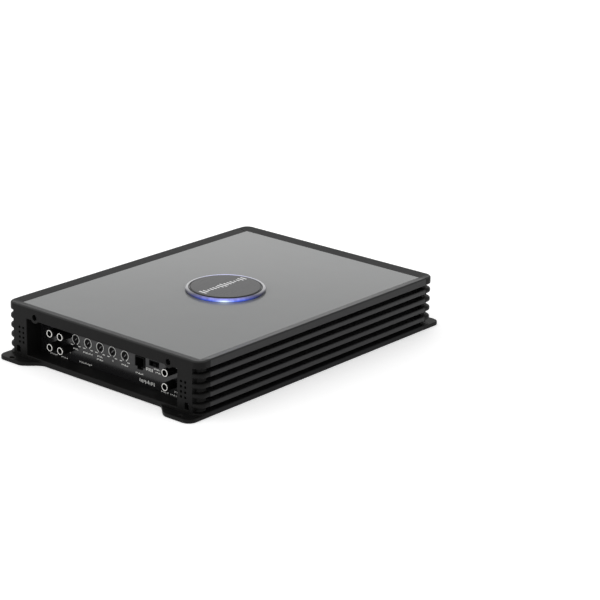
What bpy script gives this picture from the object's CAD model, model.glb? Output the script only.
"""The car amplifier's finished look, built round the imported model. Metres, +Z up, control end at -Y."""

import math

import bmesh
import bpy
from mathutils import Matrix, Vector


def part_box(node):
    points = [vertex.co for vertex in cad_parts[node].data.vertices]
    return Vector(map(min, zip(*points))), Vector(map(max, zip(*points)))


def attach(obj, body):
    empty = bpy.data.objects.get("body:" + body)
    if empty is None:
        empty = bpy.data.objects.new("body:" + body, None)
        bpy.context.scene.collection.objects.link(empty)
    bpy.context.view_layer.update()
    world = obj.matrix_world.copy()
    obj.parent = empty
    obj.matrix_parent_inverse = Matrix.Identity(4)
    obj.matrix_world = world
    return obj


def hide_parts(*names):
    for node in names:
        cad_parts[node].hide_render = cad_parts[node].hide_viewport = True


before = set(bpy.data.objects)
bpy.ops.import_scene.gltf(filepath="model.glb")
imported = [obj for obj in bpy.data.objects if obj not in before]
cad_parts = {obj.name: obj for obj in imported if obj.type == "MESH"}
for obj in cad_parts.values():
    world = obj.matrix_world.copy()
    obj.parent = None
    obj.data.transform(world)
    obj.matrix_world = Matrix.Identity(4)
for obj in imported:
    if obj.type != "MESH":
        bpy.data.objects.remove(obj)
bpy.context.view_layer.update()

CHASSIS = "chassis"
GAP = 0.0003

# Driving dimensions, read from the frame
HALF_WIDTH, SEAM_Y, LIP_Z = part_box("heatsink")[1]
EAR_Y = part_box("rear_end_cap")[1].y
(_, _, PANEL_LOW), (PANEL_X, PANEL_Y, PANEL_HIGH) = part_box("top_panel")
(_, plate_front, PLATE_LOW), (PLATE_X, plate_back, PLATE_HIGH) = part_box("control_panel")
PLATE_Y, PLATE_BACK_Y = -plate_front, -plate_back

# Body
FACE_Y = 0.1718
CORNER_RADIUS = 0.0095
CAP_EDGE, SINK_EDGE = 0.0020, 0.0014  # rounding of the frame's outer edge
SLAB_Z = 0.0470
FIN_COUNT, FIN_THICKNESS, FIN_PITCH, FIRST_FIN_Z = 4, 0.0048, 0.00945, 0.00945
STRIP_Z = 0.0050
FIN_ROOT_X = 0.1150
GROOVE_START_X = 0.1157
GROOVE_DEPTH = 0.0050
PANEL_RADIUS = 0.0006
POCKET_Z = 0.0505

# Ears and openings of the end caps
EAR_THICKNESS, EAR_RADIUS = 0.0036, 0.0090
EAR_INNER_X, EAR_ROOT_X, EAR_ROOT_Y = 0.0968, 0.0733, 0.1710
EAR_HOLE = (0.1087, 0.1808, 0.0024)
WINDOW_X, WINDOW_LOW, WINDOW_HIGH = 0.0976, 0.0060, 0.0415
MOUTH_HIGH, MOUTH_Y = 0.0428, 0.1590
SCALLOP_RADIUS = 0.0058
UPPER_SCREW = (0.0865, 0.0461)
LOWER_SCREW = (0.1092, 0.0098)
COUNTERBORE_RADIUS, COUNTERBORE_DEPTH = 0.0029, 0.0050
WELL = (0.0050, 0.0065)  # pocket round a lower screw
VENT_X, VENT_FIRST_Z, VENT_PITCH, VENT_ROWS = (0.1023, 0.1075), 0.0175, 0.00487, 4
VENT_RADIUS, VENT_DEPTH = 0.0013, 0.0060
COLLAR_X, COLLAR_LOW, COLLAR_HIGH, COLLAR_Y = 0.0996, 0.0045, 0.0427, 0.1541

FINE = 64  # sides of a small round piece
BROAD = 160  # sides of the badge
TRIM_RADIUS, GUIDE_INNER = 0.0346, 0.0362  # inner radii of the badge's two rings


# ---- outlines


def arc(centre, radius, start, end, steps):
    """Points from one angle to another, in degrees, both ends included."""
    angles = [math.radians(start + (end - start) * i / steps) for i in range(steps + 1)]
    return [(centre[0] + radius * math.cos(a), centre[1] + radius * math.sin(a)) for a in angles]


def circle(centre, radius, steps=FINE):
    return arc(centre, radius, 0, 360 - 360 / steps, steps - 1)


def fillet(corners, steps=4):
    """A closed outline from (a, b, radius) corners, each rounded by its own radius."""
    points = []
    for i, (a, b, radius) in enumerate(corners):
        here = Vector((a, b))
        if not radius:
            points.append((a, b))
            continue
        back = (Vector(corners[i - 1][:2]) - here).normalized()
        ahead = (Vector(corners[(i + 1) % len(corners)][:2]) - here).normalized()
        half = back.angle(ahead) / 2
        centre = here + (back + ahead).normalized() * radius / math.sin(half)
        first = here + back * radius / math.tan(half) - centre
        last = here + ahead * radius / math.tan(half) - centre
        start = math.atan2(first.y, first.x)
        sweep = (math.atan2(last.y, last.x) - start + math.pi) % (2 * math.pi) - math.pi
        points += arc(centre, radius, math.degrees(start), math.degrees(start + sweep), steps)
    return points


def block(low, high, radius=0.0, steps=4):
    """A rectangle between two corners, with rounded corners."""
    corners = [(low[0], low[1]), (high[0], low[1]), (high[0], high[1]), (low[0], high[1])]
    return fillet([(a, b, radius) for a, b in corners], steps)


def about(centre, width, height, radius=0.0, steps=4):
    a, b = centre
    return block((a - width / 2, b - height / 2), (a + width / 2, b + height / 2), radius, steps)


def inset(outline, distance):
    """The outline moved inwards, with each side kept parallel."""
    points = [Vector(p) for p in outline]
    area = sum(p.x * q.y - q.x * p.y for p, q in zip(points, points[1:] + points[:1]))
    turn = 1 if area > 0 else -1
    moved = []
    for before, here, after in zip(points[-1:] + points[:-1], points, points[1:] + points[:1]):
        first, second = (here - before).normalized(), (after - here).normalized()
        one = Vector((-first.y, first.x)) * turn
        two = Vector((-second.y, second.x)) * turn
        moved.append(tuple(here + (one + two) * (distance / (1 + one.dot(two)))))
    return moved


def edge_steps(radius, steps=3):
    """(inset, drop) pairs of a quarter-round, from the side of a piece up to its face."""
    if not radius:
        return [(0, 0)]
    angles = [math.pi / 2 * i / steps for i in range(steps + 1)]
    return [(radius * (1 - math.cos(a)), radius * (1 - math.sin(a))) for a in angles]


# ---- solids

AXES = {
    "X": lambda across, up, along: (along, across, up),
    "Y": lambda across, up, along: (across, along, up),
    "Z": lambda across, up, along: (across, up, along),
}


def new_object(name, data):
    item = bpy.data.objects.new(name, data)
    bpy.context.scene.collection.objects.link(item)
    return item


class Form:
    """Closed shapes in one mesh."""

    def __init__(self):
        self.mesh = bmesh.new()

    def loft(self, rings, closed=False):
        """Skins a row of rings. Open rows are capped, and a ring of one point is a tip."""
        rows = [[self.mesh.verts.new(p) for p in ring] for ring in rings]
        pairs = list(zip(rows, rows[1:]))
        if closed:
            pairs.append((rows[-1], rows[0]))
        else:
            for end in (rows[0], rows[-1]):
                if len(end) > 2:
                    self.mesh.faces.new(end)
        for first, second in pairs:
            count = max(len(first), len(second))
            for i in range(count if count > 1 else 0):
                j = (i + 1) % count
                corners = [first[i % len(first)], first[j % len(first)]]
                corners += [second[j % len(second)], second[i % len(second)]]
                self.mesh.faces.new(list(dict.fromkeys(corners)))
        return self

    def stack(self, rings, axis, closed=False):
        """Skins (outline, along) rings set out along an axis."""
        place = AXES[axis]
        return self.loft([[place(a, b, along) for a, b in ring] for ring, along in rings], closed)

    def prism(self, outline, low, high, axis, soft_low=0.0, soft_high=0.0, steps=3):
        """A straight prism whose end edges are rounded by soft_low and soft_high."""
        levels = [(inward, low + drop) for inward, drop in reversed(edge_steps(soft_low, steps))]
        levels += [(inward, high - drop) for inward, drop in edge_steps(soft_high, steps)]
        rings = [(inset(outline, inward) if inward else outline, along) for inward, along in levels]
        return self.stack(rings, axis)

    def lathe(self, profile, centre, axis, steps=FINE):
        """The solid swept by a closed profile of (radius, along) points about a line."""
        rings = [(circle(centre, r, steps) if r > 1e-7 else [centre], along) for r, along in profile]
        return self.stack(rings, axis, closed=True)

    def flared(self, outline, face, depth, mouth, side):
        """A cutter along Y that widens by mouth at the face, so that the edge is rounded."""
        rings = [(outline, face - depth)]
        for inward, drop in edge_steps(mouth):
            rings.append((inset(outline, -inward), face - drop))
        rings.append((rings[-1][0], face + 0.002))
        return self.stack([(ring, side * along) for ring, along in rings], "Y")

    def object(self, name):
        bmesh.ops.recalc_face_normals(self.mesh, faces=self.mesh.faces[:])
        data = bpy.data.meshes.new(name)
        self.mesh.to_mesh(data)
        self.mesh.free()
        return new_object(name, data)


def reshape(item, form, operation):
    """Adds or cuts a form, and keeps only the resulting mesh."""
    helper = form.object(f"{item.name}_helper")
    step = item.modifiers.new("Shape", "BOOLEAN")
    step.operation = operation
    step.solver = "EXACT"
    step.object = helper
    graph = bpy.context.evaluated_depsgraph_get()
    made = bpy.data.meshes.new_from_object(item.evaluated_get(graph))
    item.modifiers.clear()
    item.data = made
    bpy.data.objects.remove(helper)
    return item


def add(item, form):
    return reshape(item, form, "UNION")


def cut(item, form):
    return reshape(item, form, "DIFFERENCE")


def finish(item, material, nodes=(), body=CHASSIS, sharp=38):
    """Shades a piece, and says which nodes it stands for and what it rides on."""
    item.data.materials.clear()
    item.data.materials.append(material)
    item.data.shade_smooth()
    item.data.set_sharp_from_angle(angle=math.radians(sharp))
    item.modifiers.new("Normals", "WEIGHTED_NORMAL").keep_sharp = True
    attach(item, body)
    if nodes:
        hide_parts(*nodes)
    return item


# ---- materials


class Nodes:
    """A material's node tree, with short calls for what the finishes use."""

    def __init__(self, name):
        self.material = bpy.data.materials.new(name)
        self.material.use_nodes = True
        self.tree = self.material.node_tree
        self.shader = self.tree.nodes["Principled BSDF"]
        self.place = self.node("ShaderNodeTexCoord").outputs["Object"]

    def node(self, kind, **settings):
        made = self.tree.nodes.new(kind)
        for key, value in settings.items():
            setattr(made, key, value)
        return made

    def feed(self, value, target):
        """Links an output into an input, or gives the input a number or a colour."""
        if isinstance(value, bpy.types.NodeSocket):
            self.tree.links.new(value, target)
        elif isinstance(value, tuple) and len(value) == 3:
            target.default_value = (*value, 1.0)
        else:
            target.default_value = value

    def stretched(self, scale):
        mapping = self.node("ShaderNodeMapping")
        mapping.inputs["Scale"].default_value = scale
        self.feed(self.place, mapping.inputs["Vector"])
        return mapping.outputs["Vector"]

    def noise(self, scale, detail=3.0, stretch=None):
        made = self.node("ShaderNodeTexNoise")
        made.inputs["Scale"].default_value = scale
        made.inputs["Detail"].default_value = detail
        self.feed(self.stretched(stretch) if stretch else self.place, made.inputs["Vector"])
        return made.outputs["Fac"]

    def split(self, vector=None):
        """The coordinates of a vector, or of the place on the object."""
        made = self.node("ShaderNodeSeparateXYZ")
        self.feed(vector or self.place, made.inputs["Vector"])
        return [made.outputs[axis] for axis in "XYZ"]

    def spread(self, value, low, high, from_low=0.3, from_high=0.7):
        made = self.node("ShaderNodeMapRange")
        for target, number in zip(made.inputs, (value, from_low, from_high, low, high)):
            self.feed(number, target)
        return made.outputs["Result"]

    def math(self, operation, first, second):
        made = self.node("ShaderNodeMath", operation=operation)
        for value, target in zip((first, second), made.inputs):
            self.feed(value, target)
        return made.outputs["Value"]

    def times(self, first, second):
        return self.math("MULTIPLY", first, second)

    def mix(self, factor, first, second):
        made = self.node("ShaderNodeMix", data_type="RGBA")
        for value, socket in ((factor, "Factor"), (first, "A"), (second, "B")):
            self.feed(value, made.inputs[socket])
        return made.outputs["Result"]

    def edges(self, radius):
        """1 along edges and 0 on flat ground: how far a bevelled normal leans from the true one."""
        bevel = self.node("ShaderNodeBevel", samples=4)
        bevel.inputs["Radius"].default_value = radius
        geometry = self.node("ShaderNodeNewGeometry")
        dot = self.node("ShaderNodeVectorMath", operation="DOT_PRODUCT")
        self.feed(bevel.outputs["Normal"], dot.inputs[0])
        self.feed(geometry.outputs["Normal"], dot.inputs[1])
        return self.spread(dot.outputs["Value"], 1.0, 0.0, 0.80, 0.99)

    def bumps(self, *layers):
        """Stacks (height, strength, distance) layers into the shader's normal."""
        last = None
        for height, strength, distance in layers:
            bump = self.node("ShaderNodeBump")
            bump.inputs["Strength"].default_value = strength
            bump.inputs["Distance"].default_value = distance
            self.feed(height, bump.inputs["Height"])
            if last:
                self.feed(last, bump.inputs["Normal"])
            last = bump.outputs["Normal"]
        self.feed(last, self.shader.inputs["Normal"])

    def set(self, **values):
        for key, value in values.items():
            self.feed(value, self.shader.inputs[key.replace("_", " ")])


WORN = (0.35, 0.35, 0.36)  # bare metal where a coat has worn through
DUST_HEIGHTS = (0.0500, 0.0525)  # dust sets in between these heights
SHADE_HEIGHTS = (0.0048, 0.0100)  # the sheen is dull below the first and full above the second


def shade(colour, factor):
    return tuple(min(1.0, part * factor) for part in colour)


def coated(name, colour, rough, metallic=0.0, grain=2600.0, depth=0.00002, wear=0.0, vary=0.12, stretch=None,
           specular=0.5, peel=0.25, dust=0.0, shaded=False):
    """A painted, anodised or moulded surface: fine grain, faint blotches and worn edges.

    dust is the grey of a film on the frame's upper faces, and shaded dulls the sheen near the floor.
    """
    made = Nodes(name)
    blotch = made.noise(38.0, 4.0)
    base = made.mix(made.spread(blotch, 0.0, 1.0), shade(colour, 1 - vary), shade(colour, 1 + vary))
    speck = made.noise(grain, 2.0, stretch)
    base = made.mix(made.spread(speck, 0.0, 0.35, 0.45, 0.75), base, shade(colour, 1.35))
    height = made.split()[2]
    if dust:
        normal = made.node("ShaderNodeNewGeometry").outputs["Normal"]
        upward = made.spread(made.split(normal)[2], 0.0, 1.0, 0.2, 0.9)
        film = made.times(upward, made.spread(height, 0.0, 1.0, *DUST_HEIGHTS))
        base = made.mix(made.times(film, made.spread(blotch, 0.85, 1.0)), base, (dust, dust, dust))
    smudge = made.spread(made.noise(95.0, 5.0), -0.1 * vary, 0.1 * vary)
    roughness = made.math("ADD", smudge, made.spread(speck, rough - 0.03, rough + 0.03))
    if wear:
        scuffs = made.spread(made.noise(420.0, 5.0), 0.0, 1.0, 0.42, 0.62)
        mask = made.times(made.times(made.edges(0.0006), scuffs), wear)
        base = made.mix(mask, base, WORN)
        roughness = made.math("SUBTRACT", roughness, made.times(mask, 0.12))
    sheen = made.spread(height, 0.3 * specular, specular, *SHADE_HEIGHTS) if shaded else specular
    made.set(Base_Color=base, Roughness=roughness, Metallic=metallic, Specular_IOR_Level=sheen)
    made.bumps((speck, 0.55, depth), (made.noise(190.0, 3.0), peel, 0.00004))
    return made.material


def plated(name, colour, rough, grain=(900.0, 900.0, 900.0), depth=0.000004):
    """Bare or plated metal: a tight grain, smudges in its gloss and a darker film in patches."""
    made = Nodes(name)
    film = made.spread(made.noise(160.0, 4.0), 0.0, 1.0)
    base = made.mix(film, colour, shade(colour, 0.82))
    line = made.noise(1.0, 3.0, grain)
    smudge = made.spread(made.noise(60.0), 0.0, 0.06)
    roughness = made.math("ADD", made.spread(line, rough - 0.04, rough + 0.06), smudge)
    made.set(Base_Color=base, Roughness=roughness, Metallic=1.0)
    made.bumps((line, 0.5, depth))
    return made.material


def printed(name, colour):
    """Silk-screened ink: slightly thin in places."""
    made = Nodes(name)
    thin = made.spread(made.noise(1500.0, 4.0), 0.0, 1.0, 0.35, 0.55)
    made.set(Base_Color=made.mix(thin, shade(colour, 0.72), colour))
    made.set(Roughness=made.spread(made.noise(300.0), 0.45, 0.62))
    made.bumps((made.noise(2200.0), 0.3, 0.00001))
    return made.material


LAMP_ANGLE, GUIDE_RADIUS = -50.0, 0.0394
GUIDE_WALL = (0.0364, 0.0388)  # the light grows outwards between these radii
GUIDE_LOW, GUIDE_TOP = (0.0533, 0.0549), (0.0546, 0.0554)


def glowing(name, colour, pale, hot, strength):
    """A clear light guide over two lamps: blue low on its wall and paler above, frosted far from them."""
    made = Nodes(name)
    x, y, z = made.split()
    turn = math.radians(LAMP_ANGLE)
    across, ahead = made.times(x, math.cos(turn)), made.times(y, math.sin(turn))
    along = made.math("ADD", across, ahead)
    facing = made.math("ABSOLUTE", made.times(along, 1 / GUIDE_RADIUS), 0.0)
    squares = made.math("ADD", made.times(x, x), made.times(y, y))
    wall = made.spread(made.math("SQRT", squares, 0.0), 0.60, 1.0, *GUIDE_WALL)
    cloud = made.spread(made.noise(240.0, 3.0), 0.7, 1.3)
    power = made.times(made.times(made.math("POWER", facing, 5.0), wall), cloud)
    height = made.spread(z, 0.0, 1.0, *GUIDE_LOW)
    core = made.times(made.math("POWER", facing, 60.0), made.math("SUBTRACT", 1.0, height))
    made.set(Emission_Color=made.mix(core, made.mix(height, colour, pale), hot))
    made.set(Emission_Strength=made.times(power, strength))
    tint = made.mix(made.spread(made.noise(90.0), 0.0, 1.0), (0.030, 0.029, 0.052), (0.045, 0.043, 0.075))
    far = made.spread(along, 1.0, 0.0, 0.006, 0.026)
    frosted = made.times(made.spread(z, 0.0, 1.0, *GUIDE_TOP), far)
    made.set(Base_Color=made.mix(frosted, tint, (0.44, 0.44, 0.45)), Specular_IOR_Level=0.35)
    made.set(Roughness=made.spread(made.noise(130.0), 0.05, 0.14))
    made.bumps((made.noise(700.0), 0.15, 0.00001))
    return made.material


def lens(name, colour, strength):
    """A moulded lamp or fuse body that light passes into."""
    made = Nodes(name)
    cloud = made.spread(made.noise(420.0, 4.0), 0.0, 1.0)
    made.set(Base_Color=made.mix(cloud, colour, shade(colour, 0.7)))
    made.set(Roughness=made.spread(made.noise(260.0), 0.12, 0.24))
    made.set(Subsurface_Weight=0.25, Subsurface_Scale=0.002, Coat_Weight=0.4, Coat_Roughness=0.08)
    made.set(Emission_Color=colour, Emission_Strength=strength)
    made.bumps((made.noise(900.0), 0.3, 0.00001))
    return made.material


LENGTHWISE, CROSSWISE, DISC_GRAIN = (1.0, 0.02, 1.0), (0.03, 1.0, 1.0), (1.0, 0.03, 1.0)

FINS = coated("fin_anodising", (0.0075, 0.0075, 0.0080), 0.38, grain=900.0, depth=0.000012, wear=0.08,
              stretch=LENGTHWISE, specular=0.25, shaded=True)
CASTING = coated("cap_powder_coat", (0.0050, 0.0049, 0.0048), 0.48, grain=3200.0, depth=0.00003, wear=0.05,
                 specular=0.10, dust=0.042)
PANEL = coated("panel_paint", (0.152, 0.156, 0.155), 0.17, grain=5200.0, depth=0.000002, vary=0.015,
               specular=0.50, peel=0.02)
PLATE = coated("plate_paint", (0.0060, 0.0060, 0.0064), 0.20, depth=0.000004, specular=0.45, peel=0.06)
MOULDING = coated("black_moulding", (0.010, 0.010, 0.011), 0.36, grain=1900.0, specular=0.3)
DIAL = coated("dial_moulding", (0.0035, 0.0035, 0.0035), 0.50, grain=1900.0, specular=0.07)
HOLLOW = coated("black_hollow", (0.003, 0.003, 0.003), 0.60, grain=1900.0, specular=0.10)
SHEET_STEEL = coated("bottom_steel", (0.055, 0.055, 0.058), 0.42, metallic=0.6, grain=700.0, depth=0.00001,
                     wear=0.15, stretch=CROSSWISE)
ZINC = plated("zinc", (0.50, 0.50, 0.51), 0.32)
NICKEL = plated("nickel", (0.80, 0.79, 0.76), 0.17)
BLACKENED = coated("blackened_steel", (0.0025, 0.0025, 0.0025), 0.45, grain=1500.0, depth=0.00001,
                   specular=0.06)
BLACK_OXIDE = plated("black_oxide", (0.040, 0.040, 0.042), 0.34)
TRIM = coated("badge_trim", (0.006, 0.006, 0.008), 0.18, grain=1400.0, depth=0.000002, vary=0.05,
              specular=0.22, peel=0.03)
DISC = coated("disc_paint", (0.032, 0.032, 0.033), 0.30, grain=1400.0, depth=0.000004, vary=0.03,
              stretch=DISC_GRAIN, specular=0.3, peel=0.05)
INK = printed("white_ink", (0.66, 0.66, 0.64))
MARKING = printed("dial_marking", (0.16, 0.16, 0.16))
SILVER_INK = printed("silver_bars", (0.92, 0.92, 0.93))
GLOW = glowing("blue_light_guide", (0.03, 0.11, 0.85), (0.28, 0.30, 0.85), (0.75, 0.90, 1.0), 1.20)
AMBER = lens("amber_fuse", (0.80, 0.30, 0.02), 0.0)
GREEN = lens("green_lamp", (0.04, 0.62, 0.12), 0.5)
RED = lens("red_lamp", (0.50, 0.03, 0.03), 0.0)


# ---- body


def fins():
    """(low, high) of each fin."""
    lows = [FIRST_FIN_Z + i * FIN_PITCH for i in range(FIN_COUNT)]
    return [(low, low + FIN_THICKNESS) for low in lows]


def grooves():
    """(low, high) of each gap beside the fins."""
    return list(zip([STRIP_Z] + [high for _, high in fins()], [low for low, _ in fins()] + [SLAB_Z]))


def dish():
    """Cutter for the panel's pocket and for the bevel that rises from it to the rim."""
    x, y, radius = PANEL_X + GAP, PANEL_Y + GAP, PANEL_RADIUS + GAP
    inner = block((-x, -y), (x, y), radius, 14)
    x, y, radius = HALF_WIDTH - CAP_EDGE, FACE_Y - CAP_EDGE, CORNER_RADIUS - CAP_EDGE
    outer = block((-x, -y), (x, y), radius, 14)
    rings = ((inner, POCKET_Z), (inner, PANEL_HIGH), (outer, LIP_Z), (outer, LIP_Z + 0.002))
    return Form().stack(rings, "Z")


def heatsink():
    """An extrusion: a roof, finned walls, ledges for the board and slots for the bottom sheet."""
    strip, root, nose = 0.0008, 0.0007, 0.0011  # rounding of the strip, of the fins' roots and of their noses
    roof_z, wall_x, ledge_z, ledge_x = 0.0460, 0.1120, 0.0132, 0.1055
    slot_low, slot_high, slot_x, foot_x = 0.0015, 0.0037, 0.1130, 0.1075
    half = [(0.0, roof_z, 0), (wall_x, roof_z, 0), (wall_x, ledge_z, 0), (ledge_x, ledge_z, 0)]
    half += [(ledge_x, slot_high, 0), (slot_x, slot_high, 0), (slot_x, slot_low, 0)]
    half += [(foot_x, slot_low, 0), (foot_x, 0.0, 0.0003)]
    half.append((HALF_WIDTH, 0.0, strip))
    gaps = grooves()
    for number, (low, high) in enumerate(gaps):
        under = strip if number == 0 else nose
        over = strip if number == len(gaps) - 1 else nose
        half += [(HALF_WIDTH, low, under), (FIN_ROOT_X, low, root)]
        half += [(FIN_ROOT_X, high, root), (HALF_WIDTH, high, over)]
    pocket_x = PANEL_X + GAP
    half += [(HALF_WIDTH, LIP_Z + 0.0003, SINK_EDGE), (pocket_x, PANEL_HIGH, 0.0002), (pocket_x, POCKET_Z, 0)]
    outline = fillet(half + [(-x, z, r) for x, z, r in reversed(half[1:])], 5)
    item = Form().prism(outline, -SEAM_Y, SEAM_Y, "Y", 0.00015, 0.00015, 2).object("fin_body")
    return finish(item, FINS, ["heatsink"])


def cap_plan(side, inward):
    """Plan of an end cap, drawn in everywhere but at the seam."""
    x, y, radius = HALF_WIDTH - inward, FACE_Y - inward, CORNER_RADIUS - inward
    seam = SEAM_Y + GAP
    corners = [(x, seam, 0), (x, y, radius), (-x, y, radius), (-x, seam, 0)]
    return [(a, side * b) for a, b in fillet(corners, 14)]


def ear_plan(side, inward):
    """Plan of the base flange and its two ears, drawn in everywhere but at the seam."""
    seam = SEAM_Y + GAP
    corner = (HALF_WIDTH - EAR_RADIUS, EAR_Y - EAR_RADIUS)
    half = [(HALF_WIDTH, seam)] + arc(corner, EAR_RADIUS, 0, 90, 10)
    steps = 14
    for i in range(steps + 1):
        share = i / steps
        swing = (1 + math.cos(math.pi * share)) / 2
        x = EAR_INNER_X + (EAR_ROOT_X - EAR_INNER_X) * share
        half.append((x, EAR_ROOT_Y + (EAR_Y - EAR_ROOT_Y) * swing))
    whole = half + [(-a, b) for a, b in reversed(half)]
    drawn = [(a, max(b, seam)) for a, b in inset(whole, inward)]
    drawn[0], drawn[-1] = (drawn[0][0], seam), (drawn[-1][0], seam)
    return [(a, side * b) for a, b in drawn]


def stacked(plan, side, levels):
    """A solid from (inset, height) levels of a plan."""
    return Form().stack([(plan(side, inward), z) for inward, z in levels], "Z")


def groove_cutter(form, side, turn, low, high, under, over):
    """Wraps a groove round a corner of a cap. It opens out by under and over, to round the fins."""
    floor = 0.0012
    section = [(-GROOVE_DEPTH + drop, low + inward) for inward, drop in reversed(edge_steps(floor))]
    section += [(-drop, low - inward) for inward, drop in edge_steps(under, 5)]
    section += [(0.003, low - under), (0.003, high + over)]
    section += [(-drop, high + inward) for inward, drop in reversed(edge_steps(over, 5))]
    section += [(-GROOVE_DEPTH + drop, high - inward) for inward, drop in edge_steps(floor)]
    centre = (HALF_WIDTH - CORNER_RADIUS, FACE_Y - CORNER_RADIUS)
    rings = [[(HALF_WIDTH + out, SEAM_Y - 0.003, z) for out, z in section]]
    steps = 16
    for i in range(steps + 1):
        ring = []
        for out, z in section:
            radius = CORNER_RADIUS + out
            angle = math.acos((GROOVE_START_X - centre[0]) / radius) * i / steps
            ring.append((centre[0] + radius * math.cos(angle), centre[1] + radius * math.sin(angle), z))
        rings.append(ring)
    form.loft([[(turn * x, side * y, z) for x, y, z in ring] for ring in rings])


def window_outline(top):
    """The recess opening, with a scallop that leaves metal round each upper screw."""
    scallop_x, scallop_z = UPPER_SCREW
    drop = scallop_z - top
    turn = math.degrees(math.acos(drop / SCALLOP_RADIUS))
    right = fillet([(0, WINDOW_LOW, 0), (WINDOW_X, WINDOW_LOW, 0.0010), (WINDOW_X, top, 0.0010), (0, top, 0)])
    right = right[1:-1] + arc((scallop_x, scallop_z), SCALLOP_RADIUS, 270 + turn, 270 - turn, 8)
    return right + [(-x, z) for x, z in reversed(right)]


def end_cap(name, node, side):
    """A casting: body, base flange with two ears, collar, recess, corner grooves and holes."""
    top = [(inward, LIP_Z - drop) for inward, drop in edge_steps(CAP_EDGE, 6)]
    item = stacked(cap_plan, side, [(0, 0.0010)] + top).object(name)
    flange = [(0.0004, 0.0), (0.0, 0.0004)]
    flange += [(inward, EAR_THICKNESS - drop) for inward, drop in edge_steps(0.0009, 4)]
    add(item, stacked(ear_plan, side, flange))
    low, high = sorted((side * COLLAR_Y, side * (SEAM_Y + 0.003)))
    collar = block((-COLLAR_X, COLLAR_LOW), (COLLAR_X, COLLAR_HIGH), 0.0010)
    add(item, Form().prism(collar, low, high, "Y"))
    cut(item, Form().flared(window_outline(MOUTH_HIGH), FACE_Y, FACE_Y - MOUTH_Y, 0.0005, side))
    low, high = sorted((side * (COLLAR_Y - 0.002), side * (FACE_Y + 0.001)))
    cut(item, Form().prism(window_outline(WINDOW_HIGH), low, high, "Y"))
    cut(item, dish())

    gaps = grooves()
    corner_grooves = Form()
    for turn in (-1, 1):
        for number, (low, high) in enumerate(gaps):
            under = 0.0009 if number == 0 else 0.0019
            over = 0.0010 if number == len(gaps) - 1 else 0.0019
            groove_cutter(corner_grooves, side, turn, low, high, under, over)
    cut(item, corner_grooves)

    holes = Form()
    for turn in (-1, 1):
        for x in VENT_X:
            for row in range(VENT_ROWS):
                vent = circle((turn * x, VENT_FIRST_Z + row * VENT_PITCH), VENT_RADIUS, 20)
                holes.flared(vent, FACE_Y, VENT_DEPTH, 0.0002, side)
        seat = circle((turn * UPPER_SCREW[0], UPPER_SCREW[1]), COUNTERBORE_RADIUS, 40)
        holes.flared(seat, FACE_Y, COUNTERBORE_DEPTH, 0.0003, side)
        well = about((turn * LOWER_SCREW[0], LOWER_SCREW[1]), *WELL, 0.0006)
        holes.flared(well, FACE_Y, COUNTERBORE_DEPTH, 0.0003, side)
        ear_x, ear_y, radius = EAR_HOLE
        under, over = 0.0004, 0.0005  # chamfers of the hole
        rings = [(radius + under, -0.001), (radius + under, 0.0), (radius, under)]
        rings += [(radius, EAR_THICKNESS - over), (radius + over, EAR_THICKNESS)]
        rings.append((radius + over, EAR_THICKNESS + 0.002))
        place = (turn * ear_x, side * ear_y)
        holes.stack([(circle(place, r, 48), z) for r, z in rings], "Z")
    cut(item, holes)
    return finish(item, CASTING, [node], sharp=42)


def cap_screws(end, side):
    """Pan-head screws with a square drive and a washer face."""
    seat = FACE_Y - COUNTERBORE_DEPTH + GAP
    shank, head, top = 0.0015, 0.0022, seat + 0.0022
    drive, drive_depth = 0.0017, 0.0013
    labels = ("upper_left", "upper_right", "lower_left", "lower_right")
    places = [(turn * x, z) for x, z in (UPPER_SCREW, LOWER_SCREW) for turn in (-1, 1)]
    for place, label in zip(places, labels):
        corners = [(shank, seat - 0.004, 0), (shank, seat, 0), (head, seat, 0.0002), (head, top, 0.0009)]
        rim = fillet([(0.0, seat - 0.004, 0)] + corners + [(0.0, top, 0)], 5)
        profile = [(radius, side * along) for radius, along in rim]
        item = Form().lathe(profile, place, "Y", 40).object(f"{end}_cap_screw_{label}")
        low, high = sorted((side * (top - drive_depth), side * (top + 0.001)))
        cut(item, Form().prism(about(place, drive, drive, 0.0001), low, high, "Y"))
        finish(item, BLACK_OXIDE, [f"{end}_screw_{label}"])


def bottom():
    """The sheet that closes the underside, with six dimples and two groups of pressed slots."""
    low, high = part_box("bottom_plate")
    thickness, dimple_depth, slot_depth = 0.0016, 0.0011, 0.0007
    sheet = block((low.x, low.y), (high.x, high.y), 0.0010)
    item = Form().prism(sheet, low.z, low.z + thickness, "Z", 0.0002, 0.0002, 2).object("base_sheet")
    marks = Form()
    for x in (-0.094, 0.094):
        for y in (-0.128, 0.0, 0.128):
            floor = low.z + dimple_depth
            rim = [(0.0, low.z - 0.001), (0.0046, low.z - 0.001), (0.0042, low.z)]
            marks.lathe(rim + [(0.0027, floor), (0.0, floor)], (x, y), "Z", 40)
    for x in (-0.050, 0.050):
        for row in range(-4, 5):
            slot = about((x, row * 0.0110), 0.0360, 0.0030, 0.00149, 6)
            marks.prism(slot, low.z - 0.001, low.z + slot_depth, "Z")
    cut(item, marks)
    finish(item, SHEET_STEEL, ["bottom_plate"])


# ---- top


def top():
    outline = block((-PANEL_X, -PANEL_Y - 0.0002), (PANEL_X, PANEL_Y + 0.0002), PANEL_RADIUS, 12)
    item = Form().prism(outline, PANEL_LOW, PANEL_HIGH, "Z", 0.0, 0.00025, 3).object("grey_panel")
    finish(item, PANEL, ["top_panel"])


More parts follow.
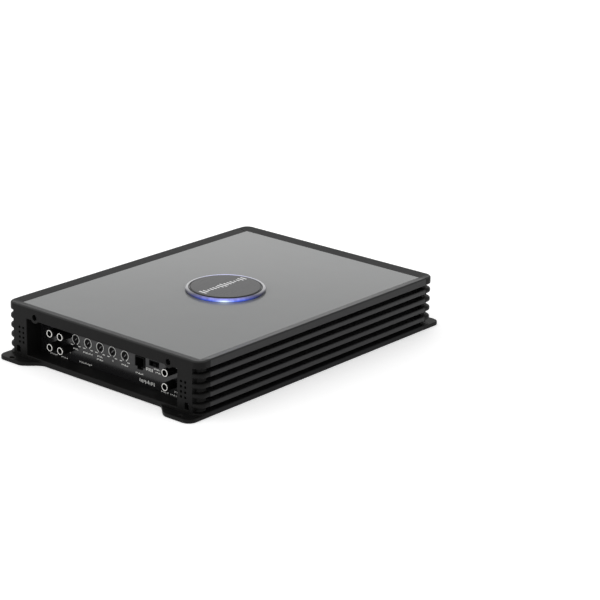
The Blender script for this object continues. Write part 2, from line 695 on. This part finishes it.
def badge():
    """A flat disc, a trim ring that slopes down outwards, a clear light guide and a row of level bars."""
    centre = (0.0, 0.0)
    low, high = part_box("badge_disc")
    base, disc_top = low.z, high.z
    face = disc_top - 0.0001
    profile = fillet([(0.0, base, 0), (high.x, base, 0.0002), (high.x, face, 0.0004), (0.0, face, 0)], 5)
    finish(Form().lathe(profile, centre, "Z", BROAD).object("badge_face"), DISC, ["badge_disc"])

    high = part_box("badge_bezel")[1]
    inner, outer, rim, fall = TRIM_RADIUS, high.x, 0.0004, 0.0008
    corners = [(inner, base, 0), (outer, base, 0), (outer, high.z - fall, 0.0002)]
    profile = fillet(corners + [(inner + rim, high.z, 0.0002), (inner, high.z, 0.0001)], 5)
    finish(Form().lathe(profile, centre, "Z", BROAD).object("badge_trim"), TRIM, ["badge_bezel"])

    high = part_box("badge_light_ring")[1]
    inner, outer, shoulder = GUIDE_INNER, high.x, 0.0010
    corners = [(inner, base, 0), (outer, base, 0.0002), (outer, high.z - 0.0012, 0.0006)]
    profile = fillet(corners + [(outer - shoulder, high.z - 0.0003, 0.0006), (inner, high.z, 0.0003)], 6)
    item = Form().lathe(profile, centre, "Z", BROAD).object("badge_glow_ring")
    notch, notch_radius = math.radians(-14), 0.0007
    place = (outer * math.cos(notch), outer * math.sin(notch))
    cut(item, Form().prism(circle(place, notch_radius, 16), high.z - 0.0007, high.z + 0.001, "Z"))
    finish(item, GLOW, ["badge_light_ring", "badge_light_board"])

    bars = Form()
    count, pitch, width, column_x = 15, 0.0042, 0.0018, -0.0030
    for i in range(count):
        y = (i - (count - 1) / 2) * pitch
        wave = 0.5 + 0.32 * math.cos(y * 190.0) + 0.18 * math.cos(y * 470.0 + 0.6)
        length = 0.0028 + 0.0074 * wave
        outline = about((column_x, y), length, width, 0.0004)
        bars.prism(outline, disc_top - 0.0003, disc_top, "Z", 0.0, 0.0001, 2)
    finish(bars.object("badge_bars"), SILVER_INK)


# ---- control end

INK_THICKNESS = 0.00006
REMOTE_BOTTOM, SWITCH_BOTTOM = 0.0207, 0.0277


def spot(node):
    """(x, z) of a node's middle."""
    low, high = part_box(node)
    return (low.x + high.x) / 2, (low.z + high.z) / 2


def face_outline(low, high, radius, gap=0.0):
    """The outline of a box seen along Y, grown by a gap."""
    return block((low.x - gap, low.z - gap), (high.x + gap, high.z + gap), radius)


def plate(name, node, side, openings):
    low, high = sorted((side * PLATE_Y, side * PLATE_BACK_Y))
    sheet = block((-PLATE_X, PLATE_LOW), (PLATE_X, PLATE_HIGH), 0.0005)
    item = Form().prism(sheet, low, high, "Y").object(name)
    cutter = Form()
    for outline in openings:
        cutter.flared(outline, PLATE_Y, 0.004, 0.00012, side)
    cut(item, cutter)
    finish(item, PLATE, [node])


RCA_PLACES = [spot(f"rca_sleeve_{i}") for i in range(1, 7)]
DIAL_PLACES = [spot(f"dial_shaft_{i}") for i in range(1, 6)]


def front_of(node, bottom):
    """A node's box above a height, without the foot it stands on behind the plate."""
    low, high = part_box(node)
    return Vector((low.x, low.y, bottom)), high


def remote_outline(gap=0.0):
    """A wide mouth with a narrower latch channel below."""
    low, high = front_of("remote_jack", REMOTE_BOTTOM)
    middle_x, step = spot("remote_jack")[0], low.z + 0.0027
    half = [(0.0030, low.z - gap, 0.0003), (0.0030, step - gap, 0), (high.x - middle_x, step - gap, 0.0003)]
    half.append((high.x - middle_x, high.z + gap, 0.0003))
    half = [(a + gap, b, r) for a, b, r in half]
    whole = half + [(-a, b, r) for a, b, r in reversed(half)]
    return fillet([(middle_x + a, b, r) for a, b, r in whole])


def control_plate():
    jack_hole, dial_hole, gap = 0.0043, 0.0036, 0.0001
    openings = [circle(place, jack_hole) for place in RCA_PLACES]
    openings += [circle(place, dial_hole) for place in DIAL_PLACES]
    openings += [remote_outline(gap), face_outline(*front_of("switch_body", SWITCH_BOTTOM), 0.0003, gap)]
    plate("control_plate", "control_panel", -1, openings)


def jacks():
    """Phono jacks: a black barrel with a nickel lip, and a black core set back in it."""
    low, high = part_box("rca_sleeve_1")
    tip, neck = low.y, -PLATE_Y
    radius = (high.x - low.x) / 2
    lip_radius, bore, core = 0.0037, 0.0028, 0.0014
    lip_end, step, floor = tip + 0.0014, tip + 0.0045, tip + 0.0080
    for number, place in enumerate(RCA_PLACES, 1):
        lip = [(lip_radius, lip_end, 0), (lip_radius, tip, 0.0004), (bore, tip, 0.0003), (bore, lip_end, 0)]
        item = Form().lathe(fillet(lip, 5), place, "Y").object(f"jack_lip_{number}")
        finish(item, NICKEL, [f"rca_sleeve_{number}"])
        barrel = [(radius, neck + 0.003, 0), (radius, lip_end, 0.0003), (bore, lip_end, 0), (bore, step, 0)]
        barrel += [(core, step, 0.0002), (core, floor, 0), (0.0, floor, 0), (0.0, neck + 0.003, 0)]
        item = Form().lathe(fillet(barrel, 4), place, "Y").object(f"jack_barrel_{number}")
        finish(item, HOLLOW, ["rca_block_left" if place[0] < 0 else "rca_block_right"])


def dials():
    """Trimmers set just behind the plate: a slotted shaft with a pointer line, in a well."""
    slot_width, slot_depth, well_radius = 0.0011, 0.0010, 0.00355
    reach_x, reach_z, lean_x, lean_z = 0.0012, 0.0014, 0.00026, 0.00022  # the line's half length and width
    for number, (x, z) in enumerate(DIAL_PLACES, 1):
        low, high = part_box(f"dial_shaft_{number}")
        radius = (high.x - low.x) / 2 - 0.0003
        front, back = low.y, -PLATE_BACK_Y + 0.001
        corners = [(0.0, front, 0), (radius, front, 0.0004), (radius, back, 0), (0.0, back, 0)]
        item = Form().lathe(fillet(corners, 5), (x, z), "Y").object(f"dial_{number}")
        slot = about((x, z), slot_width, 2 * radius + 0.002)
        cut(item, Form().prism(slot, front - 0.001, front + slot_depth, "Y"))
        finish(item, DIAL, [f"dial_shaft_{number}"], body=f"dial_{number}")
        line = [(-reach_x - lean_x, -reach_z + lean_z), (-reach_x + lean_x, -reach_z - lean_z)]
        line = [(x + a, z + b) for a, b in line + [(-a, -b) for a, b in line]]
        pointer = Form().prism(line, front - 0.0001, front + 0.0003, "Y").object(f"dial_pointer_{number}")
        finish(pointer, MARKING, body=f"dial_{number}")
        inner, lip = radius + 0.0002, front + 0.0001
        well = [(inner, back), (inner, lip), (well_radius, lip), (well_radius, back)]
        item = Form().lathe(well, (x, z), "Y").object(f"dial_well_{number}")
        finish(item, HOLLOW, [f"dial_body_{number}"])


def printed_on(form, outline):
    """A printed shape on the control panel."""
    form.prism(outline, -PLATE_Y - INK_THICKNESS, -PLATE_Y + 0.00002, "Y")


def bar(form, left, right, z, height=0.0009):
    printed_on(form, block((left, z - height / 2), (right, z + height / 2)))


def label(form, left, right, z, height=0.0014):
    """A row of short dashes of uneven length, height and level, in place of a word."""
    place, number = left, 0
    while place < right - 0.0003:
        width = (0.0008, 0.0013, 0.0006, 0.0010)[number % 4]
        tall = height * (1.0, 0.55, 0.80)[number % 3]
        level = z + height * (0.0, 0.25, -0.15, 0.10, -0.25)[number % 5]
        bar(form, place, min(place + width, right), level, tall)
        place += width + (0.0006, 0.0004)[number % 2]
        number += 1


def dial_marks(form, x, z):
    """A ring that is open below, with its ends turned down, and a tick on either side."""
    radius, width, foot_x, foot_z, half_foot = 0.0046, 0.0005, 0.0019, -0.0050, 0.0003
    ends = math.radians(-62)
    outer = arc((x, z), radius + width / 2, -62, 242, 48)
    printed_on(form, outer + arc((x, z), radius - width / 2, 242, -62, 48))
    for turn in (-1, 1):
        foot = (turn * radius * math.cos(ends), radius * math.sin(ends))
        neck = [(foot[0] - 0.0004, foot[1]), (foot[0] + 0.0004, foot[1])]
        neck += [(turn * foot_x + half_foot, foot_z), (turn * foot_x - half_foot, foot_z)]
        printed_on(form, [(x + a, z + b) for a, b in neck])
    bar(form, x - 0.0064, x - 0.0034, z - 0.0060, 0.0008)
    bar(form, x + 0.0034, x + 0.0064, z - 0.0060, 0.0008)


def marks():
    """Rings and ticks round the dials, and rows of dashes where labels would be."""
    form = Form()
    for x, z in DIAL_PLACES:
        dial_marks(form, x, z)
    labels = (
        (-0.0532, -0.0462, 0.0195), (-0.0398, -0.0277, 0.0190), (-0.0211, -0.0143, 0.0198),
        (-0.0218, -0.0139, 0.0167), (-0.0012, 0.0002, 0.0200), (0.0106, 0.0188, 0.0196),
        (-0.0845, -0.0743, 0.0070), (-0.0696, -0.0608, 0.0070), (-0.0454, -0.0287, 0.0082),
        (0.0286, 0.0386, 0.0164), (0.0419, 0.0507, 0.0241), (0.0419, 0.0507, 0.0226),
        (0.0539, 0.0600, 0.0228), (0.0519, 0.0594, 0.0257), (0.0782, 0.0805, 0.0333),
        (0.0771, 0.0813, 0.0102), (0.0607, 0.0700, 0.0064), (0.0726, 0.0802, 0.0064),
    )  # left end, right end and height of each label
    for left, right, z in labels:
        label(form, left, right, z)
    bar(form, -0.0579, -0.0571, 0.01465, 0.0025)
    for i in range(11):
        height = 0.0013 + 0.0022 * abs(math.sin(1.7 * i + 0.9))
        bar(form, 0.0336 + i * 0.0018, 0.0345 + i * 0.0018, 0.0104 + 0.0004 * math.cos(2.1 * i), height)
    finish(form.object("panel_marks"), INK)


def remote_socket():
    low, high = front_of("remote_jack", REMOTE_BOTTOM)
    item = Form().prism(remote_outline(), low.y + 0.0006, high.y, "Y", 0.0002, 0.0).object("remote_socket")
    x, floor = spot("remote_jack")[0], -0.1410
    mouth = block((x - 0.0052, low.z + 0.0034), (x + 0.0052, high.z - 0.0008), 0.0003)
    latch = block((x - 0.0024, low.z + 0.0006), (x + 0.0024, low.z + 0.0050))
    for outline in (mouth, latch):
        cut(item, Form().prism(outline, low.y, floor, "Y"))
    finish(item, HOLLOW, ["remote_jack"])
    contacts = Form()
    wire = about((0, 0), 0.0005, 0.0004)
    for i in range(4):
        contact_x = x + (i - 1.5) * 0.0012
        path = [(low.y + 0.0050, high.z - 0.0012), (low.y + 0.0110, high.z - 0.0042)]
        contacts.loft([[(contact_x + a, y, z + b) for a, b in wire] for y, z in path])
    finish(contacts.object("remote_contacts"), NICKEL)


def slide_switch():
    low, high = front_of("switch_body", SWITCH_BOTTOM)
    centre = (spot("switch_body")[0], (low.z + high.z) / 2)
    knob_low, knob_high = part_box("switch_slider")
    knob_x, knob_tall = spot("switch_slider")[0], knob_high.z - knob_low.z
    item = Form().prism(face_outline(low, high, 0.0004), low.y, high.y, "Y", 0.0002, 0.0, 2)
    item = item.object("switch_frame")
    channel_length, floor = 0.0092, -0.1490
    channel = about(centre, channel_length, knob_tall + 0.0005, 0.0002)
    cut(item, Form().prism(channel, low.y - 0.001, floor, "Y"))
    finish(item, BLACKENED, ["switch_body"])
    knob = Form()
    knob.prism(face_outline(knob_low, knob_high, 0.0003), knob_low.y + 0.0004, knob_high.y, "Y", 0.0002)
    for i in range(4):
        rib = about((knob_x + (i - 1.5) * 0.0009, centre[1]), 0.0004, knob_tall - 0.0004)
        knob.prism(rib, knob_low.y, knob_low.y + 0.0006, "Y")
    finish(knob.object("switch_knob"), DIAL, ["switch_slider"], body="switch")


# ---- power end


def power_plate():
    openings = []
    for node in ("power_terminal_block", "speaker_terminal_block", "fuse_holder"):
        openings.append(face_outline(*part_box(node), 0.0004, GAP))
    for node in ("power_lamp", "protect_lamp"):
        openings.append(circle(spot(node), 0.0017))
    plate("power_plate", "terminal_panel", 1, openings)


def terminals(name, count):
    """A barrier strip: ribbed moulding, a clamp plate in each bay and a screw over it."""
    low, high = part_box(f"{name}_terminal_block")
    rib, face = 0.0020, 0.1580
    pitch = (high.x - low.x - rib) / count
    item = Form().prism(face_outline(low, high, 0.0006), low.y, face, "Y", 0.0, 0.0003)
    item = item.object(f"{name}_strip")
    ribs = Form()
    for i in range(count + 1):
        x = low.x + rib / 2 + i * pitch
        outline = block((x - rib / 2, low.z), (x + rib / 2, high.z), 0.0005)
        ribs.prism(outline, face - 0.002, high.y, "Y", 0.0, 0.0005)
    add(item, ribs)
    finish(item, MOULDING, [f"{name}_terminal_block"])

    clamps = Form()
    first_screw = f"{name}_terminal_screw_1"
    z, top = spot(first_screw)[1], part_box(first_screw)[1].y
    shank, radius, under = 0.0015, 0.0036, face + 0.0008
    clamp_tall, widest = 0.0130, 0.0105
    cross_width, cross_length = 0.0010, 0.0044
    for i in range(count):
        x = low.x + rib / 2 + (i + 0.5) * pitch
        wide = min(pitch - rib - 0.0010, widest)
        clamps.prism(about((x, z), wide, clamp_tall, 0.0004), face - 0.0002, face + 0.0007, "Y", 0.0, 0.0002)
        corners = [(0.0, face, 0), (shank, face, 0), (shank, under, 0), (radius, under, 0.0002)]
        corners += [(radius, top, 0.0011), (0.0, top, 0)]
        screw = Form().lathe(fillet(corners, 6), (x, z), "Y", 48).object(f"{name}_screw_head_{i + 1}")
        for width, height in ((cross_width, cross_length), (cross_length, cross_width)):
            cut(screw, Form().prism(about((x, z), width, height, 0.0002), top - 0.0014, top + 0.001, "Y"))
        node, body = f"{name}_terminal_screw_{i + 1}", f"{name}_screw_{i + 1}"
        finish(screw, NICKEL, [node], body=body)
    finish(clamps.object(f"{name}_clamps"), NICKEL)


def fuse_bank():
    """A holder with two pockets and their contact slits, and a blade fuse in each."""
    low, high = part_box("fuse_holder")
    item = Form().prism(face_outline(low, high, 0.0010), low.y, high.y, "Y", 0.0, 0.0005)
    item = item.object("fuse_socket")
    pocket_depth, slit_depth, blade_z, body_y = 0.0075, 0.0185, 0.0070, 0.1506
    for number in (1, 2):
        x, z = spot(f"fuse_{number}")
        cut(item, Form().flared(about((x, z), 0.0062, 0.0198, 0.0005), high.y, pocket_depth, 0.0004, 1))
        for turn in (-1, 1):
            slit = about((x, z + turn * blade_z), 0.0014, 0.0058)
            cut(item, Form().prism(slit, high.y - slit_depth, high.y - pocket_depth + 0.0005, "Y"))
    finish(item, MOULDING, ["fuse_holder"])
    for number in (1, 2):
        fuse_low, fuse_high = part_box(f"fuse_{number}")
        x, z = spot(f"fuse_{number}")
        top, shoulder = fuse_high.y, fuse_high.y - 0.0022
        body = Form().prism(about((x, z), 0.0054, 0.0188, 0.0010), body_y, shoulder, "Y", 0.0004, 0.0003)
        body.prism(about((x, z), 0.0040, 0.0150, 0.0008), top - 0.0030, top, "Y", 0.0, 0.0005)
        made = body.object(f"fuse_body_{number}")
        for turn in (-1, 1):
            window = about((x, z + turn * 0.0048), 0.0016, 0.0020)
            cut(made, Form().prism(window, top - 0.0010, top + 0.001, "Y"))
        finish(made, AMBER, [f"fuse_{number}"], body=f"fuse_{number}")
        blades = Form()
        for turn in (-1, 1):
            outline = about((x, z + turn * blade_z), 0.0008, 0.0052)
            blades.prism(outline, fuse_low.y, body_y + 0.0009, "Y", 0.0003, 0.0, 2)
        finish(blades.object(f"fuse_blades_{number}"), ZINC, body=f"fuse_{number}")


def lamps():
    radius, dome = 0.0015, 0.0014
    for node, material, slot in (("power_lamp", GREEN, "green_lamp"), ("protect_lamp", RED, "red_lamp")):
        low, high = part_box(node)
        corners = [(0.0, low.y, 0), (radius, low.y, 0), (radius, high.y, dome), (0.0, high.y, 0)]
        item = Form().lathe(fillet(corners, 8), spot(node), "Y", 32).object(f"{node}_lens")
        finish(item, material, [node])


def power_marks():
    """Printed bars: one over each terminal, one over each strip and one over each fuse."""
    bars = []  # middle, length and height of each bar
    for name, count in (("power", 3), ("speaker", 4)):
        for i in range(count):
            bars.append((spot(f"{name}_terminal_screw_{i + 1}")[0], 0.0360, 0.0060, 0.0010))
    bars += [(-0.0600, 0.0385, 0.0300, 0.0008), (0.0600, 0.0385, 0.0360, 0.0008)]
    bars += [(x, 0.0370, 0.0050, 0.0009) for x in (-0.0095, 0.0095)]
    form = Form()
    for x, z, length, height in bars:
        form.prism(about((x, z), length, height), PLATE_Y - 0.00002, PLATE_Y + INK_THICKNESS, "Y")
    finish(form.object("power_marks"), INK)


# ---- inside


def insides():
    """Nodes that no view reaches keep their own shape and get a finish."""
    board = coated("solder_mask", (0.015, 0.10, 0.045), 0.30, 0.0, 1200.0, 0.00003)
    copper = plated("enamelled_copper", (0.50, 0.20, 0.08), 0.28)
    finishes = {"main_board": board, "badge_light_board": board, "toroid_transformer": copper}
    finishes |= {f"capacitor_{i}": MOULDING for i in (1, 2)}
    finishes |= {f"transistor_clamp_{side}": ZINC for side in ("left", "right")}
    for node, material in finishes.items():
        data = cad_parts[node].data
        data.materials.clear()
        data.materials.append(material)


# ---- stage


def stage():
    floor_mesh = bpy.data.meshes.new("floor")
    corners = [(x, y, 0) for x, y in about((0, 0), 12.0, 12.0)]
    floor_mesh.from_pydata(corners, [], [(0, 1, 2, 3)])
    floor = new_object("floor", floor_mesh)
    floor.location.z = -0.0001
    made = Nodes("floor_paper")
    cloud = made.spread(made.noise(3.0), 0.0, 1.0)
    made.set(Base_Color=made.mix(cloud, (0.93, 0.93, 0.93), (0.95, 0.95, 0.95)), Roughness=0.6)
    made.set(Specular_IOR_Level=0.1, Emission_Color=(1.0, 1.0, 1.0), Emission_Strength=0.36)
    floor_mesh.materials.append(made.material)

    world = bpy.data.worlds.new("studio")
    bpy.context.scene.world = world
    world.use_nodes = True
    background = world.node_tree.nodes["Background"]
    background.inputs["Color"].default_value = (1.0, 1.0, 1.0, 1.0)
    background.inputs["Strength"].default_value = 0.80

    lights = (
        ("back_left", (-1.05, 1.25, 0.30), (0.0, 0.0, 0.05), (1.8, 0.55), 1.6),
        ("left", (-1.6, -0.6, 0.9), (0.0, 0.0, 0.0), (1.8, 1.5), 4.0),
        ("front", (-0.2, -2.0, 0.95), (0.0, 0.0, 0.0), (2.6, 1.6), 7.0),
    )
    for name, place, target, (wide, tall), power in lights:
        data = bpy.data.lights.new(name, "AREA")
        data.shape = "RECTANGLE"
        data.size, data.size_y, data.energy = wide, tall, power
        lamp = new_object(name, data)
        lamp.location = place
        lamp.rotation_euler = (Vector(target) - Vector(place)).to_track_quat("-Z", "Y").to_euler()


def camera():
    azimuth, elevation, roll = (math.radians(v) for v in (39.85, 18.779, 1.148))
    reach = math.cos(elevation)
    ahead = Vector((-math.sin(azimuth) * reach, math.cos(azimuth) * reach, -math.sin(elevation)))
    level = Vector((math.cos(azimuth), math.sin(azimuth), 0.0))
    upright = level.cross(ahead)
    right = math.cos(roll) * level + math.sin(roll) * upright
    up = math.cos(roll) * upright - math.sin(roll) * level
    data = bpy.data.cameras.new("camera")
    data.lens, data.sensor_width, data.clip_start, data.clip_end = 125.87, 36.0, 0.05, 50.0
    item = new_object("camera", data)
    turn = Matrix((right, up, -ahead)).transposed().to_4x4()
    item.matrix_world = Matrix.Translation((1.29522, -1.43856, 0.70088)) @ turn
    bpy.context.scene.camera = item


heatsink()
for cap_end, cap_name, cap_side in (("front", "control_end_casting", -1), ("rear", "power_end_casting", 1)):
    end_cap(cap_name, f"{cap_end}_end_cap", cap_side)
    cap_screws(cap_end, cap_side)
bottom()
top()
badge()
control_plate()
jacks()
dials()
marks()
remote_socket()
slide_switch()
power_plate()
terminals("power", 3)
terminals("speaker", 4)
fuse_bank()
lamps()
power_marks()
insides()
camera()
stage()
bpy.context.scene.view_settings.view_transform = "Standard"
